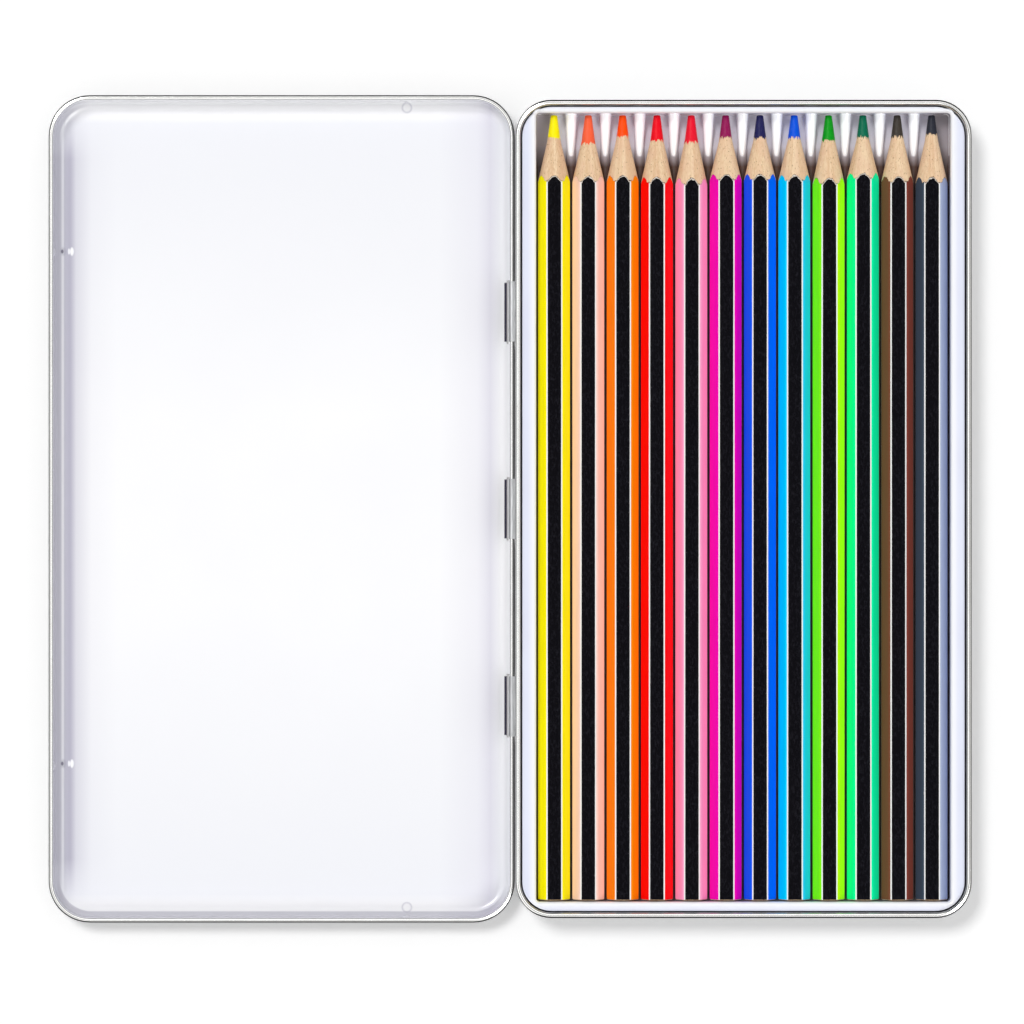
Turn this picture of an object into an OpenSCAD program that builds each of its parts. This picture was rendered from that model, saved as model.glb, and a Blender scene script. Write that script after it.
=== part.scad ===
// Flat hinged tin with a moulded tray and twelve sharpened coloured pencils, shown open.
// Origin: centre of the base's underside. +X: width, the hinge is on the -X side.
// +Y: length, towards the pencils' points. +Z: up.

/* [Tin] */
// Width of the base over its rolled rim; the row of pencils fills it
base_w = 101.5; // [96:0.5:110]
// Length of the base over its rolled rim
base_l = 182; // [181.5:0.5:190]
// Corner radius of the base over its rim
base_corner = 8; // [5:0.5:12]
// Height of the base up to the top of its rim
base_h = 9.6; // [9.2:0.1:9.8]
// Height of the closed tin
closed_h = 11.5; // [11.2:0.1:13]
// Thickness of the tinplate
sheet = 0.25; // [0.2:0.01:0.3]
// Diameter of the roll along the base's rim
base_bead = 1.2; // [1:0.05:1.5]
// Outer bend radius where the base's floor meets its wall
base_foot = 1.5; // [0.8:0.1:2]

/* [Lid] */
// Gap all round between the base's rim and the closed lid
lid_gap = 0.12; // [0.05:0.01:0.3]
// Diameter of the roll along the lid's rim
lid_bead = 1.1; // [1:0.05:1.4]
// Outer bend radius where the lid's panel meets its skirt
lid_cove = 2.5; // [1:0.1:3]
// Height of each snap dimple on the inside of the lid's skirt
dimple_h = 0.45; // [0.3:0.05:0.6]
// Diameter of each snap dimple
dimple_d = 2; // [1.4:0.1:2.4]
// Distance between the two dimples on the lid's front skirt
front_dimple_pitch = 114.6; // [40:0.2:150]
// Distance from the hinge line to the dimples on the lid's side skirts
side_dimple_x = 23.6; // [12:0.2:60]

/* [Hinge] */
// Number of tabs that the lid's rim turns in
tab_count = 3; // [1:1:4]
// Length of each tab along the hinge line
tab_len = 13.4; // [6:0.2:18]
// Distance between the middles of neighbouring tabs
tab_pitch = 44; // [24:1:48]
// Running gap between the lid's roll and the curl of a tab
pin_fit = 0.05; // [0.03:0.01:0.08]
// Gap beside each tab in the lid's skirt
window_gap = 0.4; // [0.3:0.05:1]

/* [Tray] */
// Thickness of the tray's sheet
tray_sheet = 0.35; // [0.25:0.01:0.5]
// Height of the tray, from its underside to the top of its flange
tray_h = 7.8; // [7:0.1:8.2]
// Gap all round between the tray's flange and the base's wall
tray_gap = 0.35; // [0.3:0.05:1]
// Gap between the pencils' ends and the tray's end walls
end_gap = 0.3; // [0.3:0.05:1]
// Gap between the outer pencils and the tray's side walls
side_gap = 0.33; // [0.3:0.01:1]
// Width of the tray's flange along its sides, out to the recess's wall
side_flange = 3.09; // [1.5:0.01:4]
// How far the tray's recess sits off centre, towards the points
recess_shift = 0.35; // [0:0.05:0.4]
// Radius of the recess's upright corners
recess_corner = 0.8; // [0.6:0.05:0.85]
// Radius of the rolled edge between the recess and the flange
lip_r = 0.9; // [0.6:0.05:0.95]
// Inner bend radius where the recess's floor meets its wall
recess_foot = 0.35; // [0.25:0.05:0.4]
// Radius of the low ridges that keep the pencils apart
ridge_r = 1.2; // [0.8:0.05:1.25]
// Half the width of the tall ribs between the pencils' points, at the end wall
rib_r = 1.4; // [1.3:0.05:1.45]
// Half their width at the far end, where they sink into the low ridges
rib_tip_r = 0.7; // [0.5:0.05:0.75]
// Length of the tall ribs from the end wall
rib_len = 10; // [4:0.5:11]
// Height of the tall ribs above the tray's underside
rib_h = 3.4; // [2:0.1:4]

/* [Pencils] */
// Length of a pencil
pencil_l = 175; // [165:1:175]
// Distance across the flats of a pencil
flats = 6.6; // [6.2:0.05:6.7]
// Diameter over a pencil's rounded edges
edges_d = 7.3; // [7:0.05:7.5]
// Least distance between the middles of neighbouring pencils
pitch = 7.6; // [7.5:0.01:7.9]
// Diameter of the coloured lead
lead_d = 3; // [2.2:0.1:3.3]
// Diameter of the blunt end of the point
point_d = 1.46; // [0.6:0.02:2]
// Length of bare lead in front of the wood
lead_bare = 5.8; // [4:0.1:7]
// Length of the cone, from the point to where it reaches the edges
cone_l = 14.8; // [12:0.1:20]
// Glue line between a lead and its wood
glue = 0.02; // [0.01:0.01:0.05]
// Gap under a pencil or tray that rests on a flat floor
seat = 0.05; // [0.02:0.01:0.1]

/* [Hidden] */
$fn = 64;
over = base_bead;   // how far a cut runs past the face that it opens

// Each pencil: its name, its paint, its lead
PENCILS = [
    ["yellow",       [1.00, 0.89, 0.01], [1.00, 0.93, 0.00]],
    ["peach",        [0.99, 0.80, 0.66], [0.97, 0.42, 0.28]],
    ["orange",       [0.99, 0.46, 0.02], [1.00, 0.31, 0.00]],
    ["red",          [0.98, 0.01, 0.03], [0.93, 0.00, 0.12]],
    ["pink",         [1.00, 0.61, 0.73], [0.91, 0.08, 0.20]],
    ["magenta",      [0.97, 0.02, 0.66], [0.58, 0.09, 0.35]],
    ["blue",         [0.03, 0.35, 0.94], [0.13, 0.13, 0.32]],
    ["sky",          [0.04, 0.75, 0.98], [0.00, 0.33, 0.84]],
    ["lime",         [0.61, 0.98, 0.04], [0.00, 0.59, 0.10]],
    ["spring_green", [0.02, 0.98, 0.56], [0.00, 0.42, 0.31]],
    ["brown",        [0.45, 0.27, 0.22], [0.25, 0.23, 0.20]],
    ["slate",        [0.49, 0.53, 0.62], [0.18, 0.19, 0.22]]
];

// hinge line: the lid's roll is the pin, halfway up the closed tin
pin_r = lid_bead / 2;
hinge_x = -base_w / 2 - lid_gap - pin_r;
hinge_z = closed_h / 2;
tab_in = pin_r + pin_fit;
tab_out = tab_in + sheet;
tab_developed = tab_out * PI;                   // sheet cut from the wall for one tab
window_h = hinge_z - 2 * sheet;                 // from the hinge line down into the skirt's bend
base_wall_in = base_w / 2 - base_bead;

// lid, lying open
lid_w = base_w + 2 * lid_gap + 2 * lid_bead;
lid_l = base_l + 2 * lid_gap + 2 * lid_bead;
lid_corner = base_corner + lid_gap + lid_bead;
lid_x = hinge_x + pin_r - lid_w / 2;
dimple_r = (pow(dimple_d / 2, 2) + pow(dimple_h, 2)) / (2 * dimple_h);
dimple_z = closed_h - (base_h - base_bead - 0.35 * dimple_d);

// tray
tray_z = sheet + seat;
tray_w = base_w - 2 * base_bead - 2 * tray_gap;
tray_l = base_l - 2 * base_bead - 2 * tray_gap;
tray_corner = base_corner - base_bead - tray_gap;
pencil_n = len(PENCILS);
row_need = (pencil_n - 1) * pitch + edges_d + 2 * side_gap;
recess_w = max(tray_w - 2 * side_flange, row_need);     // the flange gives way to the pencils
recess_l = pencil_l + 2 * end_gap;
flange_least = min(tray_w - recess_w, tray_l - recess_l - 2 * recess_shift) / 2;
lip = min(lip_r, flange_least - tray_sheet / 2);        // the rolled edge is limited by the flange
rib_end_y = recess_l / 2 - rib_len;
rib_run = rib_len + tray_sheet / 2;

// pencils, evenly spread over the recess
row_pitch = (recess_w - 2 * side_gap - edges_d) / (pencil_n - 1);
pencil_z = tray_z + tray_sheet + seat + flats / 2;
point_y = pencil_l / 2;
function pencil_x(i) = (i - (pencil_n - 1) / 2) * row_pitch;
function gap_x(i) = (i - (pencil_n - 2) / 2) * row_pitch;

// ---------- shared shapes ----------

// Rectangle with rounded corners, as one outline
module rounded_rect(w, l, r) {
    square([w - 2 * r, l], center = true);
    square([w, l - 2 * r], center = true);
    for (x = [-1, 1], y = [-1, 1])
        translate([x * (w / 2 - r), y * (l / 2 - r)]) circle(r);
}

// Carries a profile round a rounded rectangle; the profile's x = 0 lies on the outline, +x outwards
module around(w, l, r) {
    for (i = [0:3]) {
        span = i % 2 == 0 ? [w, l] : [l, w];
        rotate(90 * i) {
            translate([span[0] / 2, 0, 0])
                rotate([90, 0, 0])
                    linear_extrude(span[1] - 2 * r, center = true) children();
            translate([span[0] / 2 - r, span[1] / 2 - r, 0])
                rotate_extrude(angle = 90) translate([r, 0]) children();
        }
    }
}

// A quarter of a bent sheet: ring between two radii in one quadrant, given by the signs of x and y
module bend(r_out, r_in, sx, sy) {
    intersection() {
        difference() {
            circle(r_out);
            circle(r_in);
        }
        translate([sx > 0 ? 0 : -2 * r_out, sy > 0 ? 0 : -2 * r_out]) square(2 * r_out);
    }
}

// Section of a drawn pan's wall: bend at the floor, upright wall, roll turned outwards
module pan_wall(rim_z, bead, foot) {
    translate([-bead / 2, rim_z]) difference() {
        circle(d = bead);
        circle(d = bead - 2 * sheet);
        translate([-bead, -bead]) square(bead);
    }
    translate([-bead, foot]) square([sheet, rim_z - foot]);
    translate([sheet - bead - foot, foot]) bend(foot, foot - sheet, 1, -1);
}

// Drawn pan with a rolled rim; w, l and r are taken over the roll
module pan(w, l, r, rim_z, bead, foot) {
    inset = bead - sheet + foot;
    around(w, l, r) pan_wall(rim_z, bead, foot);
    linear_extrude(sheet) rounded_rect(w - 2 * inset, l - 2 * inset, r - inset);
}

// Places something at each hinge tab
module at_tabs() {
    for (i = [0:tab_count - 1])
        translate([0, (i - (tab_count - 1) / 2) * tab_pitch, 0]) children();
}

// Section in X and Z, drawn along Y
module along_y(length) {
    rotate([90, 0, 0]) linear_extrude(length, center = true) children();
}

// ---------- base ----------

// Section of one hinge tab: tongue out of the wall, then a curl over and round the lid's roll
module tab_section() {
    translate([hinge_x, hinge_z]) difference() {
        circle(tab_out);
        circle(tab_in);
        square(2 * tab_out);
        rotate(-30) square(2 * tab_out);
    }
    translate([hinge_x, hinge_z + tab_in])
        square([-base_wall_in - hinge_x, sheet]);
}

module base_pan() {
    color([0.86, 0.84, 0.80]) {
        difference() {
            pan(base_w, base_l, base_corner, base_h - base_bead / 2, base_bead, base_foot);
            // openings that the tabs were cut from
            at_tabs()
                translate([-base_wall_in - sheet - over, -tab_len / 2, hinge_z + tab_in - tab_developed])
                    cube([sheet + 2 * over, tab_len, tab_developed]);
        }
        at_tabs() along_y(tab_len) tab_section();
    }
}

// ---------- lid, lying open ----------

// Positions of the four snap dimples: [x, y, turn of the skirt's outward direction]
function dimples() = [
    [lid_x - lid_w / 2 + lid_bead, front_dimple_pitch / 2, 180],
    [lid_x - lid_w / 2 + lid_bead, -front_dimple_pitch / 2, 180],
    [hinge_x - side_dimple_x, lid_l / 2 - lid_bead, 90],
    [hinge_x - side_dimple_x, lid_bead - lid_l / 2, -90]
];

// Turns +X to a skirt's outward direction at its inner face
module at_dimples() {
    for (d = dimples()) translate([d[0], d[1], dimple_z]) rotate(d[2]) children();
}

module lid_pan() {
    color([0.93, 0.93, 0.95]) difference() {
        union() {
            translate([lid_x, 0, 0]) pan(lid_w, lid_l, lid_corner, hinge_z, lid_bead, lid_cove);
            at_dimples() intersection() {
                translate([dimple_r - dimple_h, 0, 0]) sphere(dimple_r);
                translate([-dimple_d, -dimple_d, -dimple_d])
                    cube([dimple_d + sheet / 2, 2 * dimple_d, 2 * dimple_d]);
            }
        }
        // the hollow side of each dimple
        at_dimples() translate([dimple_r - dimple_h, 0, 0]) sphere(dimple_r - sheet);
        // windows in the rear skirt and its bend, where the tabs' curls turn
        at_tabs()
            translate([hinge_x - tab_out - window_gap, -tab_len / 2 - window_gap, hinge_z - window_h])
                cube([tab_out + window_gap - pin_fit, tab_len + 2 * window_gap, window_h]);
    }
}

// ---------- tray ----------

// Section of the recess's wall: bend at the floor, wall, rolled lip up to the flange
module recess_wall() {
    floor_top = tray_sheet;
    translate([-recess_foot, floor_top + recess_foot])
        bend(recess_foot + tray_sheet, recess_foot, 1, -1);
    translate([0, floor_top + recess_foot])
        square([tray_sheet, tray_h - lip - floor_top - recess_foot]);
    translate([lip, tray_h - lip]) bend(lip, lip - tray_sheet, -1, 1);
}

// Half the width of a tall rib at a given y
function rib_half(y) = rib_tip_r + (rib_r - rib_tip_r) * (y - rib_end_y) / rib_run;

// Tall rib from a given y down to its end inside a ridge; thin takes off a sheet.
// Its crest is a leaning cone and its sides are a wedge that stands a little inside that cone.
module rib(to_y, thin) {
    high = [rib_end_y + rib_run, rib_h - rib_r];
    low = [rib_end_y, ridge_r - rib_tip_r - tray_sheet / 2];
    lean = atan((high[1] - low[1]) / rib_run);
    crest_l = rib_run / cos(lean);
    more = rib_r - rib_tip_r;
    wide = 0.96 * (rib_half(to_y) - thin);
    narrow = 0.96 * (rib_tip_r - thin);
    intersection() {
        translate([-2 * rib_r, rib_end_y - rib_r, 0])
            cube([4 * rib_r, to_y - rib_end_y + rib_r, 2 * rib_h]);
        union() {
            translate([0, low[0], low[1]]) rotate([lean - 90, 0, 0])
                cylinder(h = 1.2 * crest_l, r1 = rib_tip_r - thin, r2 = rib_tip_r - thin + 1.2 * more);
            intersection() {
                linear_extrude(rib_h)
                    polygon([[-narrow, low[0]], [narrow, low[0]], [wide, to_y], [-wide, to_y]]);
                rotate([90, 0, 90]) linear_extrude(4 * rib_r, center = true)
                    polygon([[low[0], 0], [to_y, 0], [to_y, low[1] + (to_y - low[0]) * tan(lean)], low]);
            }
        }
    }
}

// Half-round ridge along the whole floor
module ridge(r, length) {
    along_y(length) intersection() {
        circle(r);
        translate([-r, 0]) square([2 * r, r]);
    }
}

module pencil_tray() {
    floor_w = recess_w - 2 * recess_foot;
    floor_l = recess_l - 2 * recess_foot;
    color([0.91, 0.93, 0.98]) translate([0, 0, tray_z]) {
        // flange
        translate([0, 0, tray_h - tray_sheet]) linear_extrude(tray_sheet) difference() {
            rounded_rect(tray_w, tray_l, tray_corner);
            translate([0, recess_shift])
                rounded_rect(recess_w + 2 * lip, recess_l + 2 * lip, recess_corner + lip);
        }
        translate([0, recess_shift, 0]) difference() {
            union() {
                around(recess_w, recess_l, recess_corner) recess_wall();
                linear_extrude(tray_sheet)
                    rounded_rect(floor_w, floor_l, recess_corner - recess_foot);
                for (i = [0:pencil_n - 2]) translate([gap_x(i), 0, 0]) {
                    rib(recess_l / 2 + tray_sheet / 2, 0);
                    ridge(ridge_r, recess_l + tray_sheet);
                }
            }
            // hollow undersides of the ribs and ridges
            for (i = [0:pencil_n - 2]) translate([gap_x(i), 0, 0]) {
                rib(floor_l / 2, tray_sheet);
                ridge(ridge_r - tray_sheet, floor_l);
            }
        }
    }
}

// ---------- pencils ----------

// Radius of the sharpened cone at a distance from the point
function cone_r(d) = lead_d / 2 + (edges_d - lead_d) / 2 * (d - lead_bare) / (cone_l - lead_bare);

// Places something made along +Z so that its point end faces +Y in pencil i's place
module in_place(i) {
    translate([pencil_x(i), point_y + recess_shift, pencil_z])
        rotate([90, 0, 0]) children();
}

module pencil_casing(i) {
    color(PENCILS[i][1]) in_place(i) difference() {
        intersection() {
            cylinder(h = pencil_l, r = flats / sqrt(3), $fn = 6);
            rotate_extrude() polygon([
                [0, lead_bare],
                [cone_r(lead_bare), lead_bare],
                [edges_d / 2, cone_l],
                [edges_d / 2, pencil_l],
                [0, pencil_l]
            ]);
        }
        translate([0, 0, -over]) cylinder(h = pencil_l + 2 * over, r = lead_d / 2 + glue);
    }
}

module pencil_lead(i) {
    color(PENCILS[i][2]) in_place(i) {
        cylinder(h = lead_bare, d1 = point_d, d2 = lead_d);
        translate([0, 0, lead_bare]) cylinder(h = pencil_l - lead_bare, d = lead_d);
    }
}

base_pan();
lid_pan();
pencil_tray();
for (i = [0:pencil_n - 1]) {
    pencil_casing(i);
    pencil_lead(i);
}
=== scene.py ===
"""Looks of a flat hinged tin with a moulded tray and sharpened coloured pencils.

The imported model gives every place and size. The classes below dress its tinplate, lid and tray,
and build the pencils as detailed pieces in the same frame, in metres.
"""
import logging
import math
from dataclasses import dataclass, field
from enum import Enum
from typing import Any, Callable, ClassVar, Mapping, Sequence

import bpy
import numpy as np
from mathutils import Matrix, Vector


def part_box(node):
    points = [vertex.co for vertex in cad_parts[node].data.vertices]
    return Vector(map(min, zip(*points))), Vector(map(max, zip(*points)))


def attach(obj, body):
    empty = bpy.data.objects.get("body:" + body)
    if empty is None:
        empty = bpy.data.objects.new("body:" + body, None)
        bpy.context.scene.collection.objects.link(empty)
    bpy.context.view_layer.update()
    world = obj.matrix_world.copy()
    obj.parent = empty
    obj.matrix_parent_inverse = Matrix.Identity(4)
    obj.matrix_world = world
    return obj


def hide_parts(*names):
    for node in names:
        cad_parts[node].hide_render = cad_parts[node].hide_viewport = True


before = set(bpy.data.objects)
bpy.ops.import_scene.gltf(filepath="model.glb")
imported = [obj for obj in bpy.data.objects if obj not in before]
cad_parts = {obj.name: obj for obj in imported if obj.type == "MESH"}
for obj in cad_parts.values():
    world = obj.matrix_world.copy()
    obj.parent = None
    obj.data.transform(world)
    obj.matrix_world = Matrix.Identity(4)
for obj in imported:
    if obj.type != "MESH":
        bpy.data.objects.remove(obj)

LOG = logging.getLogger("pencil_tin")
MM = 0.001
RGB = tuple[float, float, float]


# ---------------------------------------------------------------- colours and small maths


def srgb(red: int, green: int, blue: int) -> RGB:
    """Turns a colour as a screen shows it, 0 to 255, into scene-linear values."""
    parts = (channel / 255 for channel in (red, green, blue))
    return tuple(part / 12.92 if part <= 0.04045 else ((part + 0.055) / 1.055) ** 2.4 for part in parts)


def shade(colour: RGB, factor: float) -> RGB:
    """Darkens or lightens a scene-linear colour by one factor."""
    return tuple(min(1.0, channel * factor) for channel in colour)


BLACK: RGB = (0.0, 0.0, 0.0)
SIXTH = math.radians(60)


class Blend(Enum):
    """Ways in which the Mix node puts two colours together."""

    OVER = "MIX"
    TINT = "MULTIPLY"


class Ray(Enum):
    """Kinds of ray, as the Light Path node names them."""

    CAMERA = "Is Camera Ray"
    GLOSSY = "Is Glossy Ray"
    TRANSMISSION = "Is Transmission Ray"


# ---------------------------------------------------------------- node trees as expressions


class Signal:
    """A socket that takes part in Python arithmetic; each operator adds a Math node."""

    def __init__(self, graph: "Graph", socket: bpy.types.NodeSocket) -> None:
        """Wraps a socket of a graph."""
        self.graph = graph
        self.socket = socket

    def math(self, operation: str, *others: Any, clamp: bool = False) -> "Signal":
        """Adds a Math node with this signal as its first value."""
        return self.graph.math(operation, self, *others, clamp=clamp)

    def __add__(self, other: Any) -> "Signal":
        """self + other."""
        return self.math("ADD", other)

    def __radd__(self, other: Any) -> "Signal":
        """other + self."""
        return self.graph.math("ADD", other, self)

    def __sub__(self, other: Any) -> "Signal":
        """self - other."""
        return self.math("SUBTRACT", other)

    def __rsub__(self, other: Any) -> "Signal":
        """other - self."""
        return self.graph.math("SUBTRACT", other, self)

    def __mul__(self, other: Any) -> "Signal":
        """self * other."""
        return self.math("MULTIPLY", other)

    def __rmul__(self, other: Any) -> "Signal":
        """other * self."""
        return self.graph.math("MULTIPLY", other, self)

    def __truediv__(self, other: Any) -> "Signal":
        """self / other."""
        return self.math("DIVIDE", other)

    def __rtruediv__(self, other: Any) -> "Signal":
        """other / self."""
        return self.graph.math("DIVIDE", other, self)

    def __pow__(self, other: Any) -> "Signal":
        """self to the power other."""
        return self.math("POWER", other)

    def __gt__(self, other: Any) -> "Signal":
        """1 where self is greater."""
        return self.math("GREATER_THAN", other)

    def __lt__(self, other: Any) -> "Signal":
        """1 where self is less."""
        return self.math("LESS_THAN", other)

    def __abs__(self) -> "Signal":
        """Absolute value."""
        return self.math("ABSOLUTE")

    def clamp(self) -> "Signal":
        """Held between 0 and 1."""
        return self.math("ADD", 0.0, clamp=True)

    def least(self, other: Any) -> "Signal":
        """The smaller of two values."""
        return self.math("MINIMUM", other)

    def most(self, other: Any) -> "Signal":
        """The greater of two values."""
        return self.math("MAXIMUM", other)

    def ramp(self, low: float, high: float) -> "Signal":
        """Rises from 0 at low to 1 at high, and stays there."""
        return ((self - low) / (high - low)).clamp()


class Graph:
    """Adds nodes to one node tree and links them."""

    def __init__(self, tree: bpy.types.NodeTree) -> None:
        """Starts on an existing tree."""
        self.tree = tree

    def node(
        self, kind: str, settings: Mapping[str, Any] | None = None, inputs: Mapping[Any, Any] | None = None
    ) -> bpy.types.Node:
        """Adds a node.

        Args:
            kind: the node's type.
            settings: its own settings, set before its sockets.
            inputs: value, socket or signal for each input, by name or number.

        Returns:
            The new node.
        """
        node = self.tree.nodes.new(kind)
        for name, value in (settings or {}).items():
            setattr(node, name, value)
        for key, value in (inputs or {}).items():
            self.feed(node.inputs[key], value)
        return node

    def feed(self, socket: bpy.types.NodeSocket, value: Any) -> None:
        """Links a signal or socket to an input, or sets its value.

        Args:
            socket: the input.
            value: a signal, a socket, a colour or a plain value.
        """
        if isinstance(value, Signal):
            value = value.socket
        if isinstance(value, bpy.types.NodeSocket):
            self.tree.links.new(value, socket)
        elif isinstance(value, tuple) and len(value) == 3 and socket.type == "RGBA":
            socket.default_value = (*value, 1.0)
        else:
            socket.default_value = value

    def math(self, operation: str, *values: Any, clamp: bool = False) -> Signal:
        """Adds a Math node and returns its result."""
        settings = {"operation": operation, "use_clamp": clamp}
        return Signal(self, self.node("ShaderNodeMath", settings, dict(enumerate(values))).outputs[0])

    def mix(self, factor: Any, first: Any, second: Any, blend: Blend = Blend.OVER) -> Signal:
        """Blends two colours: the first at factor 0, the second at factor 1."""
        settings = {"data_type": "RGBA", "blend_type": blend.value}
        return Signal(self, self.node("ShaderNodeMix", settings, {0: factor, 6: first, 7: second}).outputs[2])

    def output(self, node: bpy.types.Node, key: Any = 0) -> Signal:
        """One output of a node as a signal."""
        return Signal(self, node.outputs[key])

    def rays(self, *kinds: Ray) -> list[Signal]:
        """For each kind of ray, a signal that is 1 on it."""
        path = self.node("ShaderNodeLightPath")
        return [self.output(path, kind.value) for kind in kinds]

    def split(self, vector: bpy.types.NodeSocket) -> list[Signal]:
        """The x, y and z of a vector."""
        node = self.node("ShaderNodeSeparateXYZ", inputs={0: vector})
        return [self.output(node, i) for i in range(3)]

    def cells(self, vector: bpy.types.NodeSocket, detail: float, roughness: float) -> Signal:
        """Noise with cells one unit across; it is about 0.5 on average."""
        inputs = {"Vector": vector, "Scale": 1.0, "Detail": detail, "Roughness": roughness}
        return self.output(self.node("ShaderNodeTexNoise", inputs=inputs), "Fac")


class Coordinates:
    """Object coordinates of a material, in millimetres, and noise laid out along them."""

    def __init__(self, graph: Graph) -> None:
        """Adds the Texture Coordinate node and splits it into x, y and z in millimetres.

        Args:
            graph: the material's node tree.
        """
        self.graph = graph
        source = graph.node("ShaderNodeTexCoord")
        self.object, self.normal = source.outputs["Object"], source.outputs["Normal"]
        self.x, self.y, self.z = (part * (1 / MM) for part in graph.split(self.object))

    def noise(self, per_mm: Sequence[float], detail: float = 2.0, roughness: float = 0.5) -> Signal:
        """Noise with its own scale along each axis.

        Args:
            per_mm: cells per millimetre along x, y and z.
            detail: octaves of the noise.
            roughness: weight of the finer octaves.

        Returns:
            The noise's factor, about 0.5 on average.
        """
        scale = tuple(cells / MM for cells in per_mm)
        mapping = self.graph.node("ShaderNodeMapping", inputs={"Vector": self.object, "Scale": scale})
        return self.graph.cells(mapping.outputs[0], detail, roughness)


class Surface:
    """A new material with one Principled shader."""

    def __init__(self, name: str) -> None:
        """Makes the material, empty but for its shader and output.

        Args:
            name: the material's name.
        """
        self.material = bpy.data.materials.new(name)
        self.material.use_nodes = True
        tree = self.material.node_tree
        tree.nodes.clear()
        self.graph = Graph(tree)
        self.shader = self.graph.node("ShaderNodeBsdfPrincipled")
        self.graph.node("ShaderNodeOutputMaterial", inputs={"Surface": self.shader.outputs[0]})
        self.at = Coordinates(self.graph)

    def set(self, **inputs: Any) -> None:
        """Sets or links the shader's inputs, with _ for a space in their names."""
        for name, value in inputs.items():
            self.graph.feed(self.shader.inputs[name.replace("_", " ").title().replace("Ior", "IOR")], value)

    def bump(self, height: Signal, distance_mm: float) -> None:
        """Feeds the shader's normal from a height between 0 and 1."""
        inputs = {"Height": height, "Distance": distance_mm * MM, "Strength": 1.0}
        self.set(normal=self.graph.node("ShaderNodeBump", inputs=inputs).outputs[0])


# ---------------------------------------------------------------- finishes


@dataclass
class RoundedPan:
    """Distances out from the middle of a drawn pan's sheet, in millimetres; less than 0 is inside.

    side is measured from the long walls, end from the short ones, and edge from both, with their round
    corners. front is 1 on the half at lower x, which in the open lid is the one away from the hinge.
    """

    node: str
    at: Coordinates
    rim: float = 0.975
    roll_out: float = 0.425
    corner: float = 8.245
    cove: float = 2.4
    half_sheet: float = 0.125
    upright: float = 30.0

    def __post_init__(self) -> None:
        """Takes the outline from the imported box; the middle of the wall lies rim inside it."""
        low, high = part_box(self.node)
        self.centre = tuple((low[i] + high[i]) / 2 / MM for i in (0, 1))
        self.half = tuple((high[i] - low[i]) / 2 / MM - self.rim for i in (0, 1))
        self.floor, self.top = low[2] / MM + self.half_sheet, high[2] / MM
        self.side = abs(self.at.x - self.centre[0]) - self.half[0]
        self.end = abs(self.at.y - self.centre[1]) - self.half[1]
        self.edge = self.round_off(self.side, self.end, self.corner)
        self.front = self.at.x < self.centre[0]

    def round_off(self, first: Signal, second: Signal, radius: float) -> Signal:
        """Joins the distances from two edges by a round corner.

        Args:
            first: distance out from one edge.
            second: distance out from the other.
            radius: the corner's radius.

        Returns:
            Distance out from the rounded outline.
        """
        first, second = first + radius, second + radius
        outside = (first.most(0.0) ** 2 + second.most(0.0) ** 2) ** 0.5
        return outside + first.most(second).least(0.0) - radius

    def inside(self) -> Signal:
        """Tells the sheet's inner face, on the walls, the bends and the floor, from its outer one.

        Returns:
            1 inside the middle of the sheet, on faces that look inwards or up.
        """
        distance = self.round_off(self.edge, self.floor - self.at.z, self.cove)
        normal = self.at.graph.split(self.at.normal)
        inward = (self.centre[0] - self.at.x) * normal[0] + (self.centre[1] - self.at.y) * normal[1]
        return (distance < 0.0) * (inward + normal[2] * self.upright > 0.0)


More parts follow.
